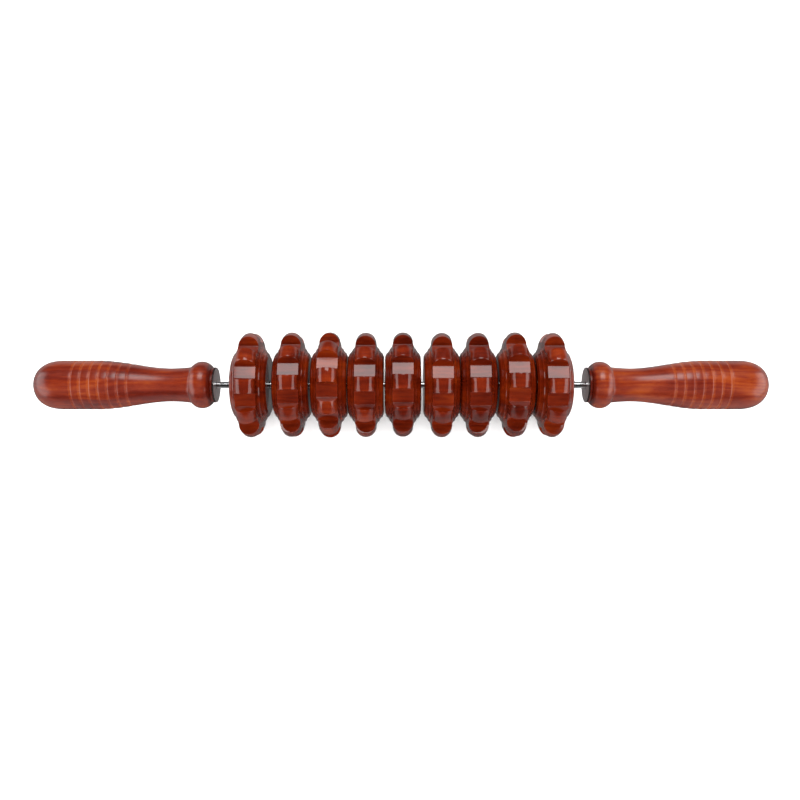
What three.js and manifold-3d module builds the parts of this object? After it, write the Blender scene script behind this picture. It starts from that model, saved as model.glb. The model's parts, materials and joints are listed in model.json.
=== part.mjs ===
// Hand-held massage roller: nine toothed wooden wheels that spin loosely on one steel rod,
// between two turned wooden handles.
//
// Units are millimetres. +X runs along the rod, +Z is up, and the origin is under the middle
// of the rod, on the surface that the wheels stand on.
import * as THREE from 'three';
import { mergeVertices } from 'three/addons/utils/BufferGeometryUtils.js';
import Module from 'manifold-3d';

const wasm = await Module();
wasm.setup();

// The whole roller.
const overallLength = 437;
const seatGap = 0.1; // between pieces that are seated on each other
const boreGap = 0.3; // around a piece that sits in another's bore

// Handles, measured from the rounded butt to the outer face of the end plate.
const handleLength = 108.3;
const gripRadius = 14.65;
const buttLength = 17.7;
const buttFlatRadius = 3;
const buttRoundness = 2.4; // exponent of the butt's outline: 2 would be an ellipse
const taperStart = 38;
const taperEnd = 82;
const neckRadius = 9.95;
const beadRadius = 14.05;
const beadArcRadius = 7.6;
const beadFromPlate = 8.6;
const collarRadius = 10.5;
const ringCount = 7;
const firstRing = 25.8;
const ringPitch = 5.35;
const ringWidth = 1.2;
const ringDepth = 0.4;

// The steel fittings of each handle, and the rod that they hold.
const plateRadius = 10.5;
const plateThickness = 0.8;
const insertRadius = 4;
const insertLength = 20;
const insertDepth = 1; // from the wood's end to the insert's near end
const rodRadius = 2;
const rodInHandle = 32;
const pilotRadius = 2.5;

// Wheels. The notches run straight across the rim, parallel to the rod, and are as deep as the
// rim's arc. They widen outward, so that each tooth between two of them has parallel sides.
const wheelRadius = 31.45;
const rimArcRadius = 6;
const toothCount = 10;
const toothWidth = 8.2;
const notchFloor = 25.4; // from the rod's axis
const hubRadius = 17.1;
const hubWidth = 21.1;
const wheelBoreRadius = 2.4;

// The turned steps between a wheel's hub and its rim, as [half-width, radius].
const flankSteps = [
  [9.6, 19.1],
  [8.1, 20.7],
  [7.7, 21.7],
  [6.5, 23.2],
];

// How the wheels stand on the rod at rest: the bare rod left of the first wheel, the gap after
// each wheel but the last, and each wheel's own turn in degrees.
const bareRodAtLeft = 10.7;
const wheelGaps = [3.3, 1.2, 0.4, 0.8, 1.8, 0.35, 1, 0.9];
const wheelTurns = [15.4, 20, 28, 18, 21, 16, 17, 22.3, 16];

const glossWood = { color: 0x7c2309, roughness: 0.2, metalness: 0 };
const satinWood = { color: 0x93330d, roughness: 0.4, metalness: 0 };
const brightSteel = { color: 0xc4c8cc, roughness: 0.2, metalness: 1 };
const satinSteel = { color: 0x9c9ca0, roughness: 0.45, metalness: 1 };
const brass = { color: 0xb58a3c, roughness: 0.4, metalness: 1 };

const betweenPlates = overallLength - 2 * handleLength;
const hubHalf = hubWidth / 2;

function sub(name, geometry, finish) {
  const mesh = new THREE.Mesh(geometry, new THREE.MeshStandardMaterial(finish));
  mesh.name = name;
  return mesh;
}

// Turns a closed outline of [place along the axis, radius] points about the X axis.
function turned(outline, sides) {
  const points = outline.map(([x, radius]) => new THREE.Vector2(radius, x));
  return new THREE.LatheGeometry(points, sides).rotateZ(-Math.PI / 2);
}

function toSolid(geometry) {
  const bare = geometry.clone();
  bare.deleteAttribute('normal');
  bare.deleteAttribute('uv');
  const merged = mergeVertices(bare);
  const triVerts = Uint32Array.from(merged.index.array);
  const vertProperties = Float32Array.from(merged.attributes.position.array);
  return new wasm.Manifold(new wasm.Mesh({ numProp: 3, vertProperties, triVerts }));
}

function toGeometry(solid) {
  const { vertProperties, triVerts } = solid.getMesh();
  const geometry = new THREE.BufferGeometry();
  geometry.setAttribute('position', new THREE.BufferAttribute(vertProperties, 3));
  geometry.setIndex(new THREE.BufferAttribute(triVerts, 1));
  geometry.computeVertexNormals();
  return geometry;
}

// A plain round bar along X, from one place to another.
function bar(from, to, radius, sides) {
  return turned([[from, 0], [to, 0], [to, radius], [from, radius], [from, 0]].reverse(), sides);
}

// A round bar with a round hole along it.
function tube(from, to, outer, inner, sides) {
  const section = [[from, inner], [from, outer], [to, outer], [to, inner], [from, inner]];
  return turned(section, sides);
}

// The handle's radius at a distance from the butt, up to the bead, without the turned rings.
function gripOutline(distance) {
  if (distance < buttLength) {
    const toGo = 1 - distance / buttLength;
    return gripRadius * (1 - toGo ** buttRoundness) ** (1 / buttRoundness);
  }
  if (distance < taperStart) return gripRadius;
  const along = Math.min((distance - taperStart) / (taperEnd - taperStart), 1);
  return neckRadius + ((gripRadius - neckRadius) * (1 + Math.cos(Math.PI * along))) / 2;
}

function buttPoints() {
  const distances = [0.03, 0.12, 0.3, 0.6, 1].map((share) => share * buttLength);
  const round = distances.map((distance) => [distance, gripOutline(distance)]);
  return [[0, 0], [0, buttFlatRadius], ...round];
}

function ringPoints() {
  const points = [];
  for (let ring = 0; ring < ringCount; ring++) {
    const middle = firstRing + ring * ringPitch;
    for (const [offset, depth] of [[-ringWidth / 2, 0], [0, ringDepth], [ringWidth / 2, 0]]) {
      points.push([middle + offset, gripOutline(middle + offset) - depth]);
    }
  }
  return points;
}

function neckPoints() {
  return [66, 74, taperEnd].map((distance) => [distance, gripOutline(distance)]);
}

// The half-round bead near the plate, as an arc from the neck's radius to the collar's.
function beadPoints() {
  const centre = handleLength - beadFromPlate;
  const arcCentre = beadRadius - beadArcRadius;
  const neckSide = Math.PI - Math.asin((neckRadius + 0.3 - arcCentre) / beadArcRadius);
  const collarSide = Math.asin((collarRadius - arcCentre) / beadArcRadius);
  const points = [];
  const steps = 6;
  for (let step = 0; step <= steps; step++) {
    const angle = neckSide + ((collarSide - neckSide) * step) / steps;
    points.push([
      centre + beadArcRadius * Math.cos(angle),
      arcCentre + beadArcRadius * Math.sin(angle),
    ]);
  }
  return points;
}

// The left handle, with its butt at distance 0 and its bore at the far end.
function handleGeometry() {
  const woodEnd = handleLength - plateThickness - seatGap;
  const socketEnd = woodEnd - insertDepth - insertLength - boreGap;
  const pilotEnd = handleLength - rodInHandle - boreGap;
  const socketRadius = insertRadius + boreGap;
  const bore = [
    [woodEnd, collarRadius],
    [woodEnd, socketRadius],
    [socketEnd, socketRadius],
    [socketEnd, pilotRadius],
    [pilotEnd, pilotRadius],
    [pilotEnd, 0],
  ];
  const outline = [...buttPoints(), ...ringPoints(), ...neckPoints(), ...beadPoints(), ...bore];
  return turned(outline, 24);
}

function insertGeometry() {
  const nearEnd = handleLength - plateThickness - seatGap - insertDepth;
  return tube(nearEnd - insertLength, nearEnd, insertRadius, rodRadius + boreGap, 20);
}

function plateGeometry() {
  const hole = rodRadius + boreGap;
  return tube(handleLength - plateThickness, handleLength, plateRadius, hole, 40);
}

// One handle with its fittings, standing at the left end or turned about to stand at the right.
function handle(side, atRight) {
  const group = new THREE.Group();
  group.add(sub(`${side}_handle`, handleGeometry(), satinWood));
  group.add(sub(`${side}_threaded_insert`, insertGeometry(), brass));
  group.add(sub(`${side}_end_plate`, plateGeometry(), satinSteel));
  group.position.x = atRight ? overallLength / 2 : -overallLength / 2;
  group.rotation.z = atRight ? Math.PI : 0;
  return group;
}

// Half of the wheel's section, from the bore to the middle of the rim.
function wheelHalfSection() {
  const rimArcCentre = wheelRadius - rimArcRadius;
  const half = [[hubHalf, wheelBoreRadius], [hubHalf, hubRadius], ...flankSteps];
  const steps = 3;
  for (let step = 0; step < steps; step++) {
    const angle = (step / steps) * (Math.PI / 2);
    half.push([rimArcRadius * Math.cos(angle), rimArcCentre + rimArcRadius * Math.sin(angle)]);
  }
  return half;
}

// A wheel before its notches are cut, turned as one closed ring about the rod.
function wheelBlank() {
  const right = wheelHalfSection();
  const left = right.map(([x, radius]) => [-x, radius]);
  const section = [...left, [0, wheelRadius], ...right.reverse(), left[0]];
  return turned(section, 3 * toothCount);
}

// Half of a notch's width at a distance from the rod's axis.
function notchHalfWidth(distance) {
  const halfPitch = Math.PI / toothCount;
  return (distance * Math.sin(halfPitch) - toothWidth / 2) / Math.cos(halfPitch);
}

// The space of one notch that faces -Y, drawn as a section and run across the whole wheel.
function notchSpace() {
  const clear = wheelRadius + 1;
  const section = new THREE.Shape([
    new THREE.Vector2(notchFloor, -notchHalfWidth(notchFloor)),
    new THREE.Vector2(clear, -notchHalfWidth(clear)),
    new THREE.Vector2(clear, notchHalfWidth(clear)),
    new THREE.Vector2(notchFloor, notchHalfWidth(notchFloor)),
  ]);
  const space = new THREE.ExtrudeGeometry(section, { depth: hubWidth, bevelEnabled: false });
  return space.translate(0, 0, -hubWidth / 2).rotateY(Math.PI / 2).rotateX(-Math.PI / 2);
}

function notchCutters() {
  const cutters = [];
  for (let notch = 0; notch < toothCount; notch++) {
    cutters.push(toSolid(notchSpace().rotateX((notch / toothCount) * 2 * Math.PI)));
  }
  return cutters;
}

// A wheel with one notch facing -Y.
function wheelGeometry() {
  let wheel = toSolid(wheelBlank());
  for (const cutter of notchCutters()) wheel = wheel.subtract(cutter);
  return toGeometry(wheel);
}

function wheels() {
  const group = new THREE.Group();
  let x = -betweenPlates / 2 + bareRodAtLeft + hubHalf;
  wheelTurns.forEach((turn, index) => {
    const wheel = sub(`wheel_${index + 1}`, wheelGeometry(), glossWood);
    wheel.position.x = x;
    wheel.rotation.x = -THREE.MathUtils.degToRad(turn);
    group.add(wheel);
    x += hubWidth + (wheelGaps[index] ?? 0);
  });
  return group;
}

function axleRod() {
  const reach = betweenPlates / 2 + rodInHandle;
  return sub('axle_rod', bar(-reach, reach, rodRadius, 24), brightSteel);
}

const roller = new THREE.Group();
roller.add(axleRod(), handle('left', false), handle('right', true), wheels());
roller.position.z = wheelRadius;

export default roller;
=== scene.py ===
"""The looks of a hand-held massage roller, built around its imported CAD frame.

Metres, +X along the rod, +Z up. The wooden pieces are turned and notched meshes with a stained
and lacquered wood, and the steel rod, discs and threaded inserts are metal."""
import json
import math

import bmesh
import bpy
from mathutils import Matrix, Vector


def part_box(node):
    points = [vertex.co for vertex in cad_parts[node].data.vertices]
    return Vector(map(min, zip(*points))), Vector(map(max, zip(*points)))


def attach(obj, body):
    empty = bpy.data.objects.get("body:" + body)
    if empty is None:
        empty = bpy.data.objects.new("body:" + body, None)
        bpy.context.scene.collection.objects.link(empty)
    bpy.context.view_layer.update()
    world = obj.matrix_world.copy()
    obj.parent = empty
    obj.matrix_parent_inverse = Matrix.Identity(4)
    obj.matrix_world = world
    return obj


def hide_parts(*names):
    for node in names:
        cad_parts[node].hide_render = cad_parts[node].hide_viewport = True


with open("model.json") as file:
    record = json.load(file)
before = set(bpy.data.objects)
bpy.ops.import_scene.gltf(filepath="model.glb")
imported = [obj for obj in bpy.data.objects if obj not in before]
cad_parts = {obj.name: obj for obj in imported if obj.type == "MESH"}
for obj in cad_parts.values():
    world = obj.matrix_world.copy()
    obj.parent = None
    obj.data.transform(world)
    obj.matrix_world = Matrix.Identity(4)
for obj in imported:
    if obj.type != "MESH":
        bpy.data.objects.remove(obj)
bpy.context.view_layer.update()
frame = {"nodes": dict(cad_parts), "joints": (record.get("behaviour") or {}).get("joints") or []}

MM = 0.001

# Handle outline in millimetres, from the rounded butt to the end plate's outer face.
GRIP_RADIUS = 14.65
BUTT_LENGTH = 17.7
BUTT_ROUNDNESS = 2.4
BUTT_FLAT_RADIUS = 2.9
TAPER_START = 38
TAPER_END = 82
NECK_RADIUS = 9.95
NECK_FLARE = 0.8
FLARE_LENGTH = 13
BEAD_RADIUS = 14.05
BEAD_ARC_RADIUS = 7.6
BEAD_FROM_PLATE = 8.6
BEAD_FOOT_RADIUS = 10.8
COLLAR_RADIUS = 10.5
COLLAR_GROOVE_RADIUS = 10
RING_COUNT = 7
FIRST_RING = 25.8
RING_PITCH = 5.35
RING_WIDTH = 1.5
RING_DEPTH = 0.4
LAND_CROWN = 0.12
SOCKET_RADIUS = 4.3
PILOT_RADIUS = 2.5
PILOT_FROM_PLATE = 32.3
SOCKET_FROM_PLATE = 22.2

# Wheel outline in millimetres, from the middle of the rim down one flank to the bore.
WHEEL_RADIUS = 31.45
RIM_ARC_RADIUS = 6
TOOTH_COUNT = 10
TOOTH_WIDTH = 8.2
NOTCH_FLOOR = 25.4
HUB_HALF = 10.55
HUB_RADIUS = 17.1
WHEEL_BORE = 2.4
EDGE_ROUNDING = 0.35

# The gap in millimetres around the rod, in the discs and the inserts.
ROD_GAP = 0.3

# How finely the meshes are divided. A wheel's sector is one notch and then one tooth.
TURNING_SIDES = 144
ROD_SIDES = 48
TOOTH_COLUMNS = 12
NOTCH_COLUMNS = 12
SECTOR_COLUMNS = NOTCH_COLUMNS + TOOTH_COLUMNS
SECTOR = 2 * math.pi / TOOTH_COUNT

ROD_AXIS = Vector(frame["joints"][0]["pos_m"])
ROD_AXIS.x = 0
HANDLE_LENGTH = (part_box("left_end_plate")[1].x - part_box("left_handle")[0].x) / MM
WHEELS = [f"wheel_{number}" for number in range(1, 10)]

# How much lighter than the others some wooden pieces took the stain.
PALENESS = {
    "wheel_1_toothed": 0.01,
    "wheel_3_toothed": 0.02,
    "wheel_5_toothed": -0.02,
    "wheel_7_toothed": -0.02,
    "wheel_9_toothed": 0.01,
    "right_turned_handle": 0.035,
}


# ---------------------------------------------------------------- mesh helpers

def mesh_piece(name, vertices, faces, place, body, replaced, material):
    """A closed, smooth-shaded piece with its origin at place, riding on a body."""
    mesh = bpy.data.meshes.new(name)
    mesh.from_pydata(vertices, [], faces)
    mesh.polygons.foreach_set("use_smooth", [True] * len(mesh.polygons))
    mesh.materials.append(material)
    face_outward(mesh)
    piece = bpy.data.objects.new(name, mesh)
    bpy.context.scene.collection.objects.link(piece)
    piece.location = place
    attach(piece, body)
    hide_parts(replaced)
    return piece


def face_outward(mesh):
    """Turns every face of a closed mesh outward."""
    work = bmesh.new()
    work.from_mesh(mesh)
    bmesh.ops.recalc_face_normals(work, faces=work.faces)
    work.to_mesh(mesh)
    work.free()


def rounded(corners):
    """Points along an outline of (x, radius, rounding) corners, with an arc at each rounded one."""
    points = []
    for index, (x, radius, rounding) in enumerate(corners):
        corner = Vector((x, radius))
        if rounding == 0 or index in (0, len(corners) - 1):
            points.append(corner)
            continue
        to_last = (Vector(corners[index - 1][:2]) - corner).normalized()
        to_next = (Vector(corners[index + 1][:2]) - corner).normalized()
        half = to_last.angle(to_next) / 2
        centre = corner + (to_last + to_next).normalized() * rounding / math.sin(half)
        start = corner + to_last * rounding / math.tan(half)
        end = corner + to_next * rounding / math.tan(half)
        steps = max(2, math.ceil((math.pi - 2 * half) / math.radians(15)))
        for step in range(steps + 1):
            spoke = (start - centre).lerp(end - centre, step / steps)
            points.append(centre + spoke.normalized() * rounding)
    return points


def turned(outline, sides=TURNING_SIDES):
    """Vertices and faces of an outline of (x, radius) points turned about X, in metres.

    A point on the axis becomes one vertex, and an outline that ends where it starts is closed."""
    closed = (Vector(outline[0]) - Vector(outline[-1])).length < 1e-6
    points = outline[:-1] if closed else outline
    vertices, rows = [], []
    for x, radius in points:
        count = sides if radius > 1e-6 else 1
        rows.append([len(vertices) + side for side in range(count)])
        for side in range(count):
            angle = 2 * math.pi * side / sides
            vertices.append((x * MM, -radius * math.cos(angle) * MM, radius * math.sin(angle) * MM))
    if closed:
        rows.append(rows[0])
    faces = []
    for near, far in zip(rows, rows[1:]):
        for side in range(sides):
            after = (side + 1) % sides
            ring = [near[side % len(near)], near[after % len(near)],
                    far[after % len(far)], far[side % len(far)]]
            face = list(dict.fromkeys(ring))
            if len(face) > 2:
                faces.append(face)
    return vertices, faces


def even_angles(sides):
    return [2 * math.pi * side / sides for side in range(sides)]


def weighted_normals(piece):
    """Lets the large faces keep their flatness in the shading, next to small rounded edges."""
    modifier = piece.modifiers.new("normals", "WEIGHTED_NORMAL")
    modifier.keep_sharp = True


# ---------------------------------------------------------------- handles

def grip_radius(distance):
    """The handle's radius at a distance from the butt, up to the bead, without its rings."""
    if distance < BUTT_LENGTH:
        to_go = 1 - distance / BUTT_LENGTH
        return GRIP_RADIUS * (1 - to_go ** BUTT_ROUNDNESS) ** (1 / BUTT_ROUNDNESS)
    along = min(max((distance - TAPER_START) / (TAPER_END - TAPER_START), 0), 1)
    return NECK_RADIUS + (GRIP_RADIUS - NECK_RADIUS) * (1 + math.cos(math.pi * along)) / 2


def ring_cut(distance):
    """How deep the turned rings cut at a distance from the butt, with slightly crowned lands."""
    last_ring = FIRST_RING + (RING_COUNT - 1) * RING_PITCH
    if not FIRST_RING - RING_WIDTH < distance < last_ring + RING_WIDTH:
        return 0
    turn = (distance - FIRST_RING) / RING_PITCH
    off = abs(turn - round(turn)) * RING_PITCH
    groove = RING_DEPTH * max(0, 1 - (2 * off / RING_WIDTH) ** 2)
    crown = LAND_CROWN * (1 - math.sin(math.pi * off / RING_PITCH))
    return max(groove, crown)


def butt_outline():
    """From the pole, across its sanded flat and round to the grip, by equal steps of slope."""
    steps = 20
    points = [(0, 0), (0, BUTT_FLAT_RADIUS * 0.5), (0, BUTT_FLAT_RADIUS)]
    for step in range(2, steps):
        distance = BUTT_LENGTH * (1 - math.cos(math.pi / 2 * step / steps))
        points.append((distance, grip_radius(distance)))
    return points


def grip_outline():
    """From the butt to the bead, in fine steps along the rings and in longer ones beyond."""
    fine_step = 0.15
    fine_per_long = 8
    end = handle_bead_start()[0]
    rings_end = FIRST_RING + RING_COUNT * RING_PITCH
    count = int((end - BUTT_LENGTH) / fine_step)
    points = []
    for index in range(count):
        distance = BUTT_LENGTH + index * (end - BUTT_LENGTH) / count
        if distance < rings_end or index % fine_per_long == 0:
            points.append((distance, neck_radius(distance, end) - ring_cut(distance)))
    return points


def neck_radius(distance, end):
    """The waist flares a little as it comes up to the bead."""
    flare = NECK_FLARE * max(0, 1 - (end - distance) / FLARE_LENGTH) ** 2
    return grip_radius(distance) + flare


def handle_bead_start():
    """Where the bead's arc leaves the waist: the distance, and the angle on the arc."""
    centre = HANDLE_LENGTH - BEAD_FROM_PLATE
    rise = NECK_RADIUS + NECK_FLARE - (BEAD_RADIUS - BEAD_ARC_RADIUS)
    angle = math.pi - math.asin(rise / BEAD_ARC_RADIUS)
    return centre + BEAD_ARC_RADIUS * math.cos(angle), angle


def bead_outline():
    centre = HANDLE_LENGTH - BEAD_FROM_PLATE
    arc_centre = BEAD_RADIUS - BEAD_ARC_RADIUS
    start = handle_bead_start()[1]
    end = math.asin((BEAD_FOOT_RADIUS - arc_centre) / BEAD_ARC_RADIUS)
    steps = 28
    points = []
    for step in range(steps + 1):
        angle = start + (end - start) * step / steps
        points.append((centre + BEAD_ARC_RADIUS * math.cos(angle),
                       arc_centre + BEAD_ARC_RADIUS * math.sin(angle)))
    return points


def bore_outline(wood_end):
    """From the groove beside the bead, over the collar and down the socket and the pilot hole."""
    socket_end = HANDLE_LENGTH - SOCKET_FROM_PLATE
    pilot_end = HANDLE_LENGTH - PILOT_FROM_PLATE
    corners = [
        (wood_end - 1.4, COLLAR_GROOVE_RADIUS, 0),
        (wood_end - 1.15, COLLAR_GROOVE_RADIUS, 0.1),
        (wood_end - 1.05, COLLAR_RADIUS, 0.25),
        (wood_end, COLLAR_RADIUS, 0.35),
        (wood_end, SOCKET_RADIUS, 0.2),
        (socket_end, SOCKET_RADIUS, 0.2),
        (socket_end, PILOT_RADIUS, 0.2),
        (pilot_end, PILOT_RADIUS, 0.5),
        (pilot_end, 0, 0),
    ]
    return [tuple(point) for point in rounded(corners)]


def handle(side, wood, direction):
    """A handle whose butt is at its low X end, or at its high X end if the direction is -1."""
    low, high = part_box(f"{side}_handle")
    butt = low.x if direction > 0 else high.x
    wood_end = (high.x - low.x) / MM
    outline = butt_outline() + grip_outline() + bead_outline() + bore_outline(wood_end)
    vertices, faces = turned(outline)
    if direction < 0:
        vertices = [(-x, -y, z) for x, y, z in vertices]
    place = Vector((butt, 0, ROD_AXIS.z))
    name, node = f"{side}_turned_handle", f"{side}_handle"
    piece = mesh_piece(name, vertices, faces, place, "frame", node, wood)
    weighted_normals(piece)
    return piece


# ---------------------------------------------------------------- wheels

def flank_outline():
    """Half of the wheel's section as (half-width, radius), from the bore to the middle of the rim.

    The flank is turned in two beaded steps between the hub's face and the rim."""
    corners = [
        (HUB_HALF - 0.5, WHEEL_BORE, 0),
        (HUB_HALF, WHEEL_BORE + 0.5, 0.2),
        (HUB_HALF, HUB_RADIUS, 0.6),
        (9.7, 19.0, 0.25),
        (9.1, 19.42, 0.2),
        (8.1, 20.7, 0.3),
        (7.8, 21.6, 0.25),
        (7.15, 22.05, 0.2),
        (6.5, 23.2, 0.6),
        (6.1, 24.8, 0),
    ]
    points = [tuple(point) for point in rounded(corners)]
    arc_centre = WHEEL_RADIUS - RIM_ARC_RADIUS
    arc_steps = 14
    for step in range(arc_steps + 1):
        angle = math.pi / 2 * step / arc_steps
        points.append((RIM_ARC_RADIUS * math.cos(angle), arc_centre + RIM_ARC_RADIUS * math.sin(angle)))
    return points


def half_width_at(outline, radius):
    """The outline's half-width at a radius, by interpolation."""
    for (width, inner), (next_width, outer) in zip(outline, outline[1:]):
        if inner <= radius <= outer and outer > inner:
            return width + (next_width - width) * (radius - inner) / (outer - inner)
    raise ValueError(f"no outline at radius {radius}")


class Grid:
    """Collects a mesh's vertices and faces, with places given as (x, radius, angle above -Y)."""

    def __init__(self, turn=0):
        self.turn = turn
        self.vertices = []
        self.faces = []

    def add(self, x, radius, angle):
        angle += self.turn
        self.vertices.append((x * MM, -radius * math.cos(angle) * MM, radius * math.sin(angle) * MM))
        return len(self.vertices) - 1

    def ring(self, x, radius, angles):
        return [self.add(x, radius, angle) for angle in angles]

    def strip(self, row, next_row, closed):
        """Quads between two rows of the same length."""
        count = len(row) if closed else len(row) - 1
        for column in range(count):
            after = (column + 1) % len(row)
            self.faces.append((row[column], row[after], next_row[after], next_row[column]))


def notch_corner():
    """The radius of a notch floor's edge, and its angle from the middle of the notch.

    A notch widens outward, so that the tooth beside it has parallel sides."""
    half_pitch = math.pi / TOOTH_COUNT
    half_width = (NOTCH_FLOOR * math.sin(half_pitch) - TOOTH_WIDTH / 2) / math.cos(half_pitch)
    return math.hypot(NOTCH_FLOOR, half_width), math.atan2(half_width, NOTCH_FLOOR)


def wheel_angles():
    """The angles of the wheel's columns, sector by sector."""
    corner = notch_corner()[1]
    notch_step = 2 * corner / NOTCH_COLUMNS
    tooth_step = (SECTOR - 2 * corner) / TOOTH_COLUMNS
    angles = []
    for tooth in range(TOOTH_COUNT):
        start = tooth * SECTOR - corner
        angles += [start + step * notch_step for step in range(NOTCH_COLUMNS)]
        angles += [start + 2 * corner + step * tooth_step for step in range(TOOTH_COLUMNS)]
    return angles


def wheel_flank(grid, outline, angles, side):
    """One side of the wheel's body, from the bore to the line where notches and teeth start."""
    least_step = 0.25
    body = [point for point in outline if point[1] < NOTCH_FLOOR - least_step]
    rows = [grid.ring(side * width, radius, angles) for width, radius in body]
    edge = []
    corner_radius = notch_corner()[0]
    for column, angle in enumerate(angles):
        off = angle - (column // SECTOR_COLUMNS) * SECTOR
        in_notch = column % SECTOR_COLUMNS <= NOTCH_COLUMNS
        radius = NOTCH_FLOOR / math.cos(off) if in_notch else corner_radius
        edge.append(grid.add(side * half_width_at(outline, radius), radius, angle))
    rows.append(edge)
    for row, next_row in zip(rows, rows[1:]):
        grid.strip(row, next_row, closed=True)
    return rows


def tooth_rows(grid, outline, tooth, side, first_row):
    """One side of one tooth, from its foot to just below the middle of the rim."""
    least_step = 0.4
    foot = notch_corner()[0] + least_step
    rows = [first_row]
    for width, radius in outline:
        if radius > foot and width > 1e-6:
            rows.append(grid.ring(side * width, radius, tooth_angles(tooth, radius)))
    return rows


def tooth_angles(tooth, radius):
    """The angles of a tooth's columns at a radius, between its two parallel walls."""
    middle = (tooth + 0.5) * SECTOR
    reach = math.asin(TOOTH_WIDTH / 2 / radius)
    return [middle + reach * (2 * step / TOOTH_COLUMNS - 1) for step in range(TOOTH_COLUMNS + 1)]


def add_tooth(grid, outline, tooth, edges):
    """A tooth: its two flanks, which meet in the middle of the rim, and its two walls."""
    start = tooth * SECTOR_COLUMNS + NOTCH_COLUMNS
    count = TOOTH_COUNT * SECTOR_COLUMNS
    picked = [(start + step) % count for step in range(TOOTH_COLUMNS + 1)]
    sides = []
    for side in (-1, 1):
        first_row = [edges[side][column] for column in picked]
        sides.append(tooth_rows(grid, outline, tooth, side, first_row))
    crest = grid.ring(0, WHEEL_RADIUS, tooth_angles(tooth, WHEEL_RADIUS))
    for rows in sides:
        for row, next_row in zip(rows, rows[1:] + [crest]):
            grid.strip(row, next_row, closed=False)
    left, right = sides
    for end in (0, -1):
        for level in range(len(left) - 1):
            grid.faces.append((left[level][end], right[level][end],
                               right[level + 1][end], left[level + 1][end]))
        grid.faces.append((left[-1][end], right[-1][end], crest[end]))


def add_notch_floors(grid, edges):
    """The flat floors of the notches, from one flank's edge to the other's."""
    for tooth in range(TOOTH_COUNT):
        for step in range(NOTCH_COLUMNS):
            column = tooth * SECTOR_COLUMNS + step
            after = column + 1
            grid.faces.append((edges[-1][column], edges[-1][after],
                               edges[1][after], edges[1][column]))


def wheel_grid(turn):
    """The vertices and faces of one wheel, with a notch at the turn's angle above -Y."""
    grid = Grid(turn)
    outline = flank_outline()
    angles = wheel_angles()
    flanks = {side: wheel_flank(grid, outline, angles, side) for side in (-1, 1)}
    edges = {side: rows[-1] for side, rows in flanks.items()}
    grid.strip(flanks[-1][0], flanks[1][0], closed=True)
    for tooth in range(TOOTH_COUNT):
        add_tooth(grid, outline, tooth, edges)
    add_notch_floors(grid, edges)
    return grid.vertices, grid.faces


def mark_notch_edges(piece):
    """Gives a bevel weight to the outer edges of the notches, and to nothing else."""
    inner = (NOTCH_FLOOR - 0.3) * MM
    sharp = math.radians(30)
    work = bmesh.new()
    work.from_mesh(piece.data)
    weights = work.edges.layers.float.new("bevel_weight_edge")
    for edge in work.edges:
        middle = (edge.verts[0].co + edge.verts[1].co) / 2
        outside = math.hypot(middle.y, middle.z) > inner
        if outside and edge.is_convex and edge.calc_face_angle() > sharp:
            edge[weights] = 1
    work.to_mesh(piece.data)
    work.free()


def wheel_turn(node):
    """The angle of a CAD wheel's first notch above -Y, read from where its teeth reach furthest."""
    reach = (WHEEL_RADIUS - 0.5) * MM
    sine, cosine = 0, 0
    for vertex in frame["nodes"][node].data.vertices:
        y, z = vertex.co.y, vertex.co.z - ROD_AXIS.z
        if math.hypot(y, z) > reach:
            turns = TOOTH_COUNT * math.atan2(z, -y)
            sine += math.sin(turns)
            cosine += math.cos(turns)
    return (math.atan2(sine, cosine) + math.pi) / TOOTH_COUNT


def wheel(node, wood):
    low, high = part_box(node)
    place = Vector(((low.x + high.x) / 2, 0, ROD_AXIS.z))
    vertices, faces = wheel_grid(wheel_turn(node))
    name, body = f"{node}_toothed", f"{node}_body"
    piece = mesh_piece(name, vertices, faces, place, body, node, wood)
    mark_notch_edges(piece)
    bevel = piece.modifiers.new("rounded_notch_edges", "BEVEL")
    bevel.limit_method = "WEIGHT"
    bevel.width = EDGE_ROUNDING * MM
    bevel.segments = 3
    weighted_normals(piece)
    return piece


# ---------------------------------------------------------------- steel and brass

def thread(x, angle, pitch):
    """The height of a thread's profile, from 0 at its root to 1 at its crest."""
    turn = x / pitch - angle / (2 * math.pi)
    return 1 - abs(2 * (turn - math.floor(turn)) - 1)


def threaded_rows(grid, start, end, crest, depth, pitch, angles):
    """Rows of a threaded stretch along X, whose thread fades in and out over one turn."""
    rows_per_turn = 6
    count = math.ceil((end - start) / pitch * rows_per_turn)
    rows = []
    for step in range(count + 1):
        x = start + (end - start) * step / count
        fade = min(1, (x - start) / pitch, (end - x) / pitch)
        row = []
        for angle in angles:
            radius = crest - depth * (1 - thread(x, angle, pitch)) * fade
            row.append(grid.add(x, radius, angle))
        rows.append(row)
    return rows


def close_with_point(grid, row, x):
    """Closes an open end with a fan of triangles around a point on the axis."""
    tip = grid.add(x, 0, 0)
    for column in range(len(row)):
        grid.faces.append((row[column], row[(column + 1) % len(row)], tip))


def rod_bore():
    """The radius in millimetres of the hole around the rod, in a disc or an insert."""
    return (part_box("axle_rod")[1].z - ROD_AXIS.z) / MM + ROD_GAP


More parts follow.
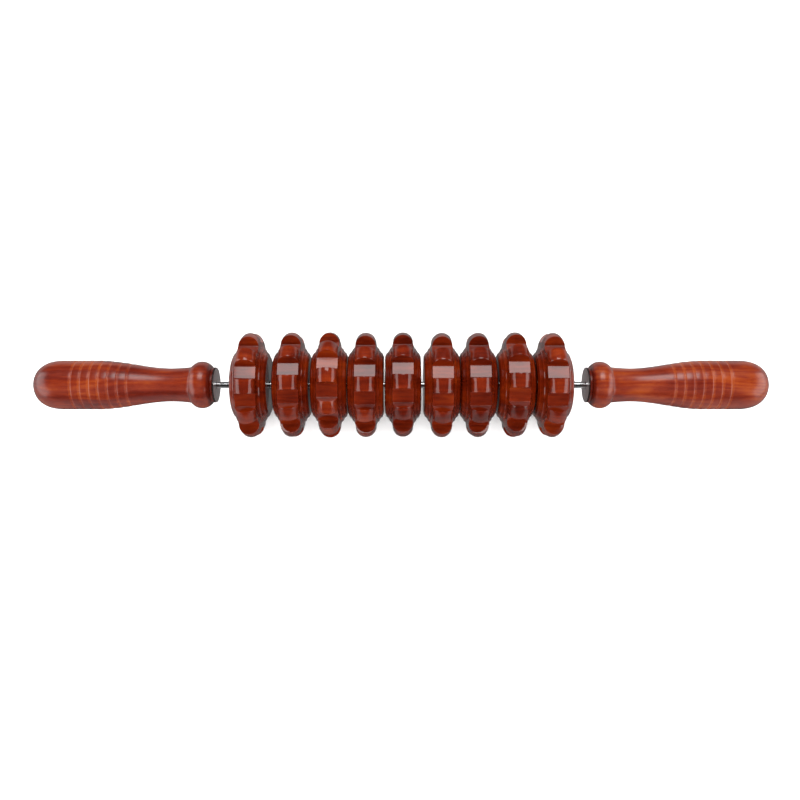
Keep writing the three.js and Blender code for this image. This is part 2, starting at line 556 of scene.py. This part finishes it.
def axle_rod(steel):
    """The drawn rod, with a rolled thread at each end, inside the handles."""
    low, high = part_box("axle_rod")
    half, radius = high.x / MM, (high.z - low.z) / 2 / MM
    threaded, depth, pitch = 30, 0.35, 0.7
    chamfer = 0.4
    plain_step = 6
    angles = even_angles(ROD_SIDES)
    grid = Grid()
    rows = [grid.ring(-half, radius - chamfer, angles)]
    rows += threaded_rows(grid, -half + chamfer, -half + threaded, radius, depth, pitch, angles)
    plain = int(2 * (half - threaded) / plain_step)
    for step in range(1, plain):
        x = -half + threaded + 2 * (half - threaded) * step / plain
        rows.append(grid.ring(x, radius, angles))
    rows += threaded_rows(grid, half - threaded, half - chamfer, radius, depth, pitch, angles)
    rows.append(grid.ring(half, radius - chamfer, angles))
    for row, next_row in zip(rows, rows[1:]):
        grid.strip(row, next_row, closed=True)
    close_with_point(grid, rows[0], -half)
    close_with_point(grid, rows[-1], half)
    mesh_piece("steel_rod", grid.vertices, grid.faces, ROD_AXIS, "frame", "axle_rod",
               steel)


def end_plate(side, steel):
    """A flat steel disc with a rounded rim, around the rod at a handle's inner end."""
    node = f"{side}_end_plate"
    low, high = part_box(node)
    half, radius = (high.x - low.x) / 2 / MM, (high.z - low.z) / 2 / MM
    hole = rod_bore()
    middle = (radius + hole) / 2
    corners = [
        (-half, middle, 0),
        (-half, hole, 0.15),
        (half, hole, 0.15),
        (half, radius, 0.25),
        (-half, radius, 0.25),
        (-half, middle, 0),
    ]
    vertices, faces = turned([tuple(point) for point in rounded(corners)], 96)
    place = Vector(((low.x + high.x) / 2, 0, ROD_AXIS.z))
    name = f"{side}_steel_disc"
    piece = mesh_piece(name, vertices, faces, place, "frame", node, steel)
    weighted_normals(piece)


def threaded_insert(side, brass):
    """A brass insert with a coarse wood thread outside, hidden in a handle's socket."""
    node = f"{side}_threaded_insert"
    low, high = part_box(node)
    half, radius = (high.x - low.x) / 2 / MM, (high.z - low.z) / 2 / MM
    depth, pitch = 0.7, 2.5
    bore, chamfer = rod_bore(), 0.3
    mouth = bore + chamfer
    angles = even_angles(ROD_SIDES)
    grid = Grid()
    rows = threaded_rows(grid, -half, half, radius, depth, pitch, angles)
    for x, ring in ((half, mouth), (half - chamfer, bore), (-half + chamfer, bore), (-half, mouth)):
        rows.append(grid.ring(x, ring, angles))
    for row, next_row in zip(rows, rows[1:] + rows[:1]):
        grid.strip(row, next_row, closed=True)
    place = Vector(((low.x + high.x) / 2, 0, ROD_AXIS.z))
    name = f"{side}_brass_insert"
    mesh_piece(name, grid.vertices, grid.faces, place, "frame", node, brass)


# ---------------------------------------------------------------- materials

class Nodes:
    """Builds a material's node tree with short calls."""

    def __init__(self, name):
        self.material = bpy.data.materials.new(name)
        self.material.use_nodes = True
        self.tree = self.material.node_tree
        self.shader = self.tree.nodes["Principled BSDF"]

    def link(self, output, target):
        self.tree.links.new(output, target)

    def put(self, kind, **settings):
        node = self.tree.nodes.new(kind)
        for key, value in settings.items():
            setattr(node, key, value)
        return node

    def math(self, operation, first, second=0.0):
        node = self.put("ShaderNodeMath", operation=operation)
        for socket, value in zip(node.inputs, (first, second)):
            if isinstance(value, (int, float)):
                socket.default_value = value
            else:
                self.link(value, socket)
        return node.outputs[0]

    def add_share(self, total, value, share):
        """The total, plus a share of a value."""
        return self.math("ADD", total, self.math("MULTIPLY", value, share))

    def place(self, shift=True):
        """Object coordinates in millimetres, moved by each piece's own grain shift."""
        scale = self.put("ShaderNodeVectorMath", operation="SCALE")
        self.link(self.put("ShaderNodeTexCoord").outputs["Object"], scale.inputs[0])
        scale.inputs["Scale"].default_value = 1 / MM
        if not shift:
            return scale.outputs[0]
        add = self.put("ShaderNodeVectorMath", operation="ADD")
        self.link(scale.outputs[0], add.inputs[0])
        self.link(self.put("ShaderNodeAttribute", attribute_name="grain_shift").outputs["Vector"],
                  add.inputs[1])
        return add.outputs[0]

    def noise(self, place, stretch, detail=3.0, roughness=0.5):
        """Noise whose features are about stretch = (x, y, z) millimetres long."""
        mapping = self.put("ShaderNodeMapping")
        self.link(place, mapping.inputs["Vector"])
        mapping.inputs["Scale"].default_value = [1 / length for length in stretch]
        noise = self.put("ShaderNodeTexNoise")
        self.link(mapping.outputs[0], noise.inputs["Vector"])
        noise.inputs["Scale"].default_value = 1
        noise.inputs["Detail"].default_value = detail
        noise.inputs["Roughness"].default_value = roughness
        return noise.outputs["Fac"]

    def spread(self, value, low, high, to_low=0.0, to_high=1.0):
        """Maps low..high of a value to another range, and clamps it there."""
        node = self.put("ShaderNodeMapRange")
        self.link(value, node.inputs["Value"])
        for socket, number in zip(("From Min", "From Max", "To Min", "To Max"),
                                  (low, high, to_low, to_high)):
            node.inputs[socket].default_value = number
        return node.outputs[0]

    def ramp(self, value, stops):
        node = self.put("ShaderNodeValToRGB")
        self.link(value, node.inputs[0])
        elements = node.color_ramp.elements
        while len(elements) < len(stops):
            elements.new(0.5)
        for element, (position, color) in zip(elements, stops):
            element.position = position
            element.color = (*color, 1)
        return node.outputs[0]

    def bump(self, height, strength, distance, normal=None):
        node = self.put("ShaderNodeBump")
        node.inputs["Strength"].default_value = strength
        node.inputs["Distance"].default_value = distance * MM
        self.link(height, node.inputs["Height"])
        if normal is not None:
            self.link(normal, node.inputs["Normal"])
        return node.outputs[0]

    def set(self, **values):
        for name, value in values.items():
            self.shader.inputs[name.replace("_", " ")].default_value = value


def growth_rings(nodes, place):
    """Bands of early and late wood, nearly flat across the piece, as in a turned blank."""
    wander = nodes.noise(place, (60, 14, 14), detail=2)
    apart = nodes.put("ShaderNodeSeparateXYZ")
    nodes.link(place, apart.inputs[0])
    across = nodes.add_share(apart.outputs["Y"], apart.outputs["Z"], 0.35)
    bent = nodes.add_share(across, wander, 16)
    ring_spacing = 3.4
    wave = nodes.math("SINE", nodes.math("MULTIPLY", bent, 2 * math.pi / ring_spacing))
    return nodes.spread(wave, -1, 1)


def worn_rings(nodes, distance):
    """Where the stain is worn off the lands beside the turned rings, from 0 to 1."""
    turn = nodes.math("DIVIDE", nodes.math("SUBTRACT", distance, FIRST_RING), RING_PITCH)
    off = nodes.math("ABSOLUTE", nodes.math("SUBTRACT", turn, nodes.math("ROUND", turn)))
    near = nodes.spread(off, 0.08, 0.24, 1, 0)
    middle = (RING_COUNT - 1) / 2
    from_middle = nodes.math("ABSOLUTE", nodes.math("SUBTRACT", turn, middle))
    ringed = nodes.math("LESS_THAN", from_middle, middle + 0.4)
    return nodes.math("MULTIPLY", near, ringed)


def painted_collar_shade(nodes, distance):
    """Painted shade: how much darker the collar and its groove are made, from 0 to 1."""
    return nodes.spread(distance, HANDLE_LENGTH - 4.2, HANDLE_LENGTH - 2.8)


def stained_wood(name, stain, coat_roughness, ringed=False):
    """Stained hardwood with its fibres along X, under clear lacquer.

    The stain is four colours, from where it took deepest to where it took least."""
    nodes = Nodes(name)
    place = nodes.place()
    patches = nodes.noise(place, (26, 11, 11), detail=3)
    fibres = nodes.noise(place, (9, 0.5, 0.5), detail=4, roughness=0.6)
    pores = nodes.spread(nodes.noise(place, (3.2, 0.16, 0.16), detail=1), 0.62, 0.72)
    paleness = nodes.put("ShaderNodeAttribute", attribute_name="paleness").outputs["Fac"]
    tone = nodes.add_share(paleness, patches, 0.42)
    tone = nodes.add_share(tone, growth_rings(nodes, place), 0.04)
    tone = nodes.add_share(tone, fibres, 0.14)
    tone = nodes.add_share(tone, pores, -0.08)
    if ringed:
        along = nodes.put("ShaderNodeSeparateXYZ")
        nodes.link(nodes.place(shift=False), along.inputs[0])
        distance = nodes.math("ABSOLUTE", along.outputs["X"])
        tone = nodes.add_share(tone, worn_rings(nodes, distance), 0.075)
        # The collar and its groove are darkened as painted shade.
        tone = nodes.add_share(tone, painted_collar_shade(nodes, distance), -0.2)
    color = nodes.ramp(tone, list(zip((0.17, 0.25, 0.33, 0.42), stain)))
    nodes.link(color, nodes.shader.inputs["Base Color"])
    nodes.link(nodes.spread(fibres, 0.3, 0.7, 0.4, 0.55), nodes.shader.inputs["Roughness"])
    swell = nodes.noise(place, (7, 2.2, 2.2), detail=2)
    uneven = nodes.bump(swell, 0.2, 0.05)
    nodes.link(nodes.bump(pores, 0.3, -0.02, uneven), nodes.shader.inputs["Normal"])
    nodes.link(nodes.bump(swell, 0.08, 0.05), nodes.shader.inputs["Coat Normal"])
    nodes.set(Specular_IOR_Level=0.06, Coat_Weight=1.0, Coat_Roughness=coat_roughness, Coat_IOR=1.5)
    return nodes.material


def wheel_wood():
    """Dark red-brown under gloss lacquer."""
    stain = [(0.032, 0.0018, 0.0002), (0.062, 0.0038, 0.0003),
             (0.098, 0.0075, 0.0005), (0.145, 0.0155, 0.0010)]
    return stained_wood("wheel_wood", stain, 0.05)


def handle_wood():
    """A lighter red-brown under satin lacquer."""
    stain = [(0.048, 0.0026, 0.0002), (0.080, 0.0048, 0.0003),
             (0.122, 0.0105, 0.0006), (0.195, 0.0290, 0.0016)]
    return stained_wood("handle_wood", stain, 0.25, ringed=True)


def drawn_steel():
    """Bright steel with fine die lines along X."""
    nodes = Nodes("drawn_steel")
    place = nodes.place(shift=False)
    lines = nodes.noise(place, (30, 0.12, 0.12), detail=3)
    spots = nodes.noise(place, (4, 1.5, 1.5), detail=4)
    color = nodes.ramp(spots, [(0.3, (0.56, 0.57, 0.58)), (0.7, (0.74, 0.75, 0.76))])
    nodes.link(color, nodes.shader.inputs["Base Color"])
    nodes.link(nodes.spread(lines, 0.3, 0.7, 0.12, 0.3), nodes.shader.inputs["Roughness"])
    nodes.link(nodes.bump(lines, 0.2, 0.01), nodes.shader.inputs["Normal"])
    nodes.set(Metallic=1.0)
    return nodes.material


def satin_steel():
    """Punched sheet steel: a satin face with faint turning marks, and a dull sheared edge whose colour
    is painted dark as painted shade.
    """
    nodes = Nodes("satin_steel")
    place = nodes.place(shift=False)
    apart = nodes.put("ShaderNodeSeparateXYZ")
    nodes.link(place, apart.inputs[0])
    across, up = apart.outputs["Y"], apart.outputs["Z"]
    square = nodes.math("ADD", nodes.math("MULTIPLY", across, across),
                        nodes.math("MULTIPLY", up, up))
    radius = nodes.math("SQRT", square)
    # The rim mask makes the rim rougher, and darkens its colour as painted shade.
    edge = nodes.spread(radius, COLLAR_RADIUS - 0.3, COLLAR_RADIUS - 0.15)
    mark_spacing = 0.45
    marks = nodes.math("SINE", nodes.math("MULTIPLY", radius, 2 * math.pi / mark_spacing))
    grain = nodes.noise(place, (0.5, 0.5, 0.5), detail=4)
    shade = nodes.add_share(grain, edge, -0.6)
    # The near-black stop is reached only on the rim: painted shade.
    color = nodes.ramp(shade, [(0.02, (0.09, 0.08, 0.08)), (0.3, (0.76, 0.74, 0.74)),
                               (0.7, (0.90, 0.88, 0.88))])
    nodes.link(color, nodes.shader.inputs["Base Color"])
    rough = nodes.spread(grain, 0.3, 0.7, 0.32, 0.46)
    rough = nodes.add_share(rough, edge, 0.3)
    nodes.link(rough, nodes.shader.inputs["Roughness"])
    nodes.link(nodes.bump(nodes.math("ADD", marks, grain), 0.2, 0.008), nodes.shader.inputs["Normal"])
    nodes.set(Metallic=1.0)
    return nodes.material


def machined_brass():
    """Slightly tarnished brass with cutter marks around X."""
    nodes = Nodes("machined_brass")
    place = nodes.place(shift=False)
    tarnish = nodes.noise(place, (5, 3, 3), detail=4)
    marks = nodes.noise(place, (0.15, 4, 4), detail=2)
    color = nodes.ramp(tarnish, [(0.3, (0.42, 0.26, 0.07)), (0.7, (0.66, 0.45, 0.16))])
    nodes.link(color, nodes.shader.inputs["Base Color"])
    nodes.link(nodes.spread(tarnish, 0.3, 0.7, 0.25, 0.5), nodes.shader.inputs["Roughness"])
    nodes.link(nodes.bump(marks, 0.2, 0.01), nodes.shader.inputs["Normal"])
    nodes.set(Metallic=1.0)
    return nodes.material


def own_timber(piece, number, paleness):
    """Gives a wooden piece its own stretch of timber, and how little stain it took."""
    shift = Vector((37.0, 61.0, 23.0)) * (number + 1)
    count = len(piece.data.vertices)
    attribute = piece.data.attributes.new("grain_shift", "FLOAT_VECTOR", "POINT")
    attribute.data.foreach_set("vector", list(shift) * count)
    attribute = piece.data.attributes.new("paleness", "FLOAT", "POINT")
    attribute.data.foreach_set("value", [paleness] * count)


# ---------------------------------------------------------------- stage

CAMERA_ELEVATION = math.radians(72)
CAMERA_DISTANCE = 0.479
TOWARDS_CAMERA = Vector((0, -math.cos(CAMERA_ELEVATION), math.sin(CAMERA_ELEVATION)))
IMAGE_UP = Vector((0, math.sin(CAMERA_ELEVATION), math.cos(CAMERA_ELEVATION)))


def aim(thing, target):
    """Points a camera's or a light's -Z at the target, with its X level."""
    thing.rotation_euler = (target - thing.location).to_track_quat("-Z", "Y").to_euler()


def camera():
    """The camera, aimed a little in front of the middle of the rod."""
    data = bpy.data.cameras.new("camera")
    data.lens = 36
    data.sensor_width = 36
    thing = bpy.data.objects.new("camera", data)
    bpy.context.scene.collection.objects.link(thing)
    below, left = 0.009, 0.0006
    target = ROD_AXIS - IMAGE_UP * below - Vector((left, 0, 0))
    thing.location = target + TOWARDS_CAMERA * CAMERA_DISTANCE
    aim(thing, target)
    bpy.context.scene.camera = thing


def softbox(name, above, aside, distance, size, radiance):
    """A rectangular light, placed by its angles in degrees above and beside the camera.

    The size is in metres, and the radiance in watts per square metre and steradian."""
    above, aside = math.radians(above), math.radians(aside)
    direction = TOWARDS_CAMERA * math.cos(above) + IMAGE_UP * math.sin(above)
    direction = direction * math.cos(aside) + Vector((math.sin(aside), 0, 0))
    data = bpy.data.lights.new(name, "AREA")
    data.shape = "RECTANGLE"
    data.size, data.size_y = size
    data.energy = radiance * math.pi * size[0] * size[1]
    light = bpy.data.objects.new(name, data)
    bpy.context.scene.collection.objects.link(light)
    light.location = ROD_AXIS + direction * distance
    aim(light, ROD_AXIS)
    return light


def lights():
    """A softbox overhead and one on each side, and two fills that leave no reflections."""
    softbox("overhead_softbox", 44, 2, 1.2, (0.74, 0.6), 5.0)
    softbox("left_softbox", 0, -72, 1.1, (1.6, 0.7), 2.5)
    softbox("right_softbox", 0, 72, 1.1, (1.6, 0.7), 2.5)
    for name, above, radiance in (("front_fill", -22, 5.0), ("back_fill", 60, 4.4)):
        fill = softbox(name, above, 0, 1.2, (1.6, 1.2), radiance)
        fill.visible_glossy = False


def surroundings():
    """Dark above the horizon, and grey below it for the glossy pieces to reflect.

    Straight down it is darker again, as the floor is under the roller."""
    world = bpy.data.worlds.new("studio")
    bpy.context.scene.world = world
    world.use_nodes = True
    tree = world.node_tree
    background = tree.nodes["Background"]
    place = tree.nodes.new("ShaderNodeTexCoord")
    apart = tree.nodes.new("ShaderNodeSeparateXYZ")
    tree.links.new(place.outputs["Generated"], apart.inputs[0])
    shade = tree.nodes.new("ShaderNodeValToRGB")
    height = tree.nodes.new("ShaderNodeMapRange")
    height.inputs["From Min"].default_value = -1
    tree.links.new(apart.outputs["Z"], height.inputs["Value"])
    tree.links.new(height.outputs[0], shade.inputs[0])
    elements = shade.color_ramp.elements
    elements.new(0.5)
    elements.new(0.5)
    greys_by_height = ((0.05, 0.19), (0.2, 0.5), (0.44, 0.6), (0.53, 0.03))
    for element, (position, grey) in zip(elements, greys_by_height):
        element.position = position
        element.color = (grey, grey, grey, 1)
    tree.links.new(shade.outputs[0], background.inputs["Color"])
    background.inputs["Strength"].default_value = 1


def floor():
    """A pale floor. Reflections pass it, and see the surroundings instead."""
    mesh = bpy.data.meshes.new("floor")
    reach = 6.0
    corners = [(-reach, -reach, 0), (reach, -reach, 0), (reach, reach, 0), (-reach, reach, 0)]
    mesh.from_pydata(corners, [], [(0, 1, 2, 3)])
    ground = bpy.data.objects.new("floor", mesh)
    ground.visible_glossy = False
    bpy.context.scene.collection.objects.link(ground)
    nodes = Nodes("pale_floor")
    nodes.set(Base_Color=(0.9, 0.9, 0.9, 1), Roughness=0.6)
    mesh.materials.append(nodes.material)


def backdrop():
    """A plain white wall all round, behind the lights, that only the camera sees."""
    sides, radius, height = 96, 1.35, 2.5
    corners = []
    for side in range(sides):
        angle = 2 * math.pi * side / sides
        x, y = radius * math.cos(angle), radius * math.sin(angle)
        corners += [(x, y, 0), (x, y, height)]
    count = len(corners)
    faces = [(low, (low + 2) % count, (low + 3) % count, low + 1) for low in range(0, count, 2)]
    mesh = bpy.data.meshes.new("backdrop")
    mesh.from_pydata(corners, [], faces)
    wall = bpy.data.objects.new("backdrop", mesh)
    bpy.context.scene.collection.objects.link(wall)
    wall.visible_diffuse = False
    wall.visible_glossy = False
    wall.visible_shadow = False
    nodes = Nodes("white_wall")
    nodes.set(Base_Color=(0, 0, 0, 1), Specular_IOR_Level=0, Emission_Color=(1, 1, 1, 1),
              Emission_Strength=1)
    nodes.material.cycles.emission_sampling = "NONE"
    mesh.materials.append(nodes.material)


# ---------------------------------------------------------------- the roller

def roller():
    """All the visible pieces, each wooden one with timber of its own."""
    glossy, satin = wheel_wood(), handle_wood()
    wooden = [wheel(node, glossy) for node in WHEELS]
    wooden += [handle("left", satin, 1), handle("right", satin, -1)]
    for number, piece in enumerate(wooden):
        own_timber(piece, number, PALENESS.get(piece.name, 0))
    axle_rod(drawn_steel())
    steel, brass = satin_steel(), machined_brass()
    for side in ("left", "right"):
        end_plate(side, steel)
        threaded_insert(side, brass)


camera()
lights()
surroundings()
floor()
backdrop()
roller()

bpy.context.scene.view_settings.view_transform = "Standard"
